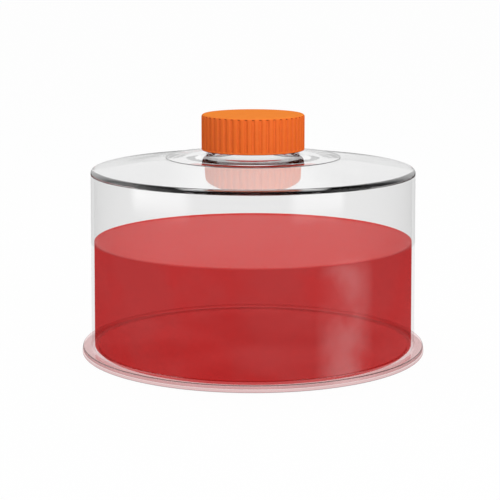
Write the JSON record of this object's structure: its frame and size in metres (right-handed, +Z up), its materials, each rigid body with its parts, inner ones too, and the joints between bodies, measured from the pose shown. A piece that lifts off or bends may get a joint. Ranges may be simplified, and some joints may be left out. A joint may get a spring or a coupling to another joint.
{
  "type": "cell culture flask",
  "caption": "Low round clear flask with a shallow conical roof, short screw neck, flanged foot, red culture medium inside and a fluted orange screw cap.",
  "frame": {"origin": "centre of the flask's underside, on the surface it stands on", "axes": "+Z up along the axis of the vessel, neck and cap; +X and +Y are any two directions across it, -Y towards the viewer"},
  "size_m": [0.1434, 0.1434, 0.0988],
  "materials": {
    "clear_plastic": "clear injection-moulded polystyrene, polished mould",
    "medium": "still red liquid, clear",
    "liner": "smooth white polyethylene disc",
    "cap_plastic": "moulded orange polypropylene, satin"
  },
  "bodies": {
    "flask": {"vessel_body": "clear_plastic", "base_plate": "clear_plastic", "culture_medium": "medium"},
    "liner": {"cap_liner": "liner"},
    "cap": {"screw_cap": "cap_plastic"}
  },
  "joints": [
    {"name": "cap_lift", "type": "slide", "parent": "flask", "child": "liner", "axis": [0, 0, 1], "range_m": [0, 0.0138]},
    {"name": "cap_turn", "type": "hinge", "parent": "liner", "child": "cap", "pos_m": [0, 0, 0.0842], "axis": [0, 0, 1], "range_deg": [0, 1170]}
  ],
  "couplings": [
    {"joint": "cap_lift", "follows": "cap_turn", "m_per_rad": 0.00067322}
  ]
}
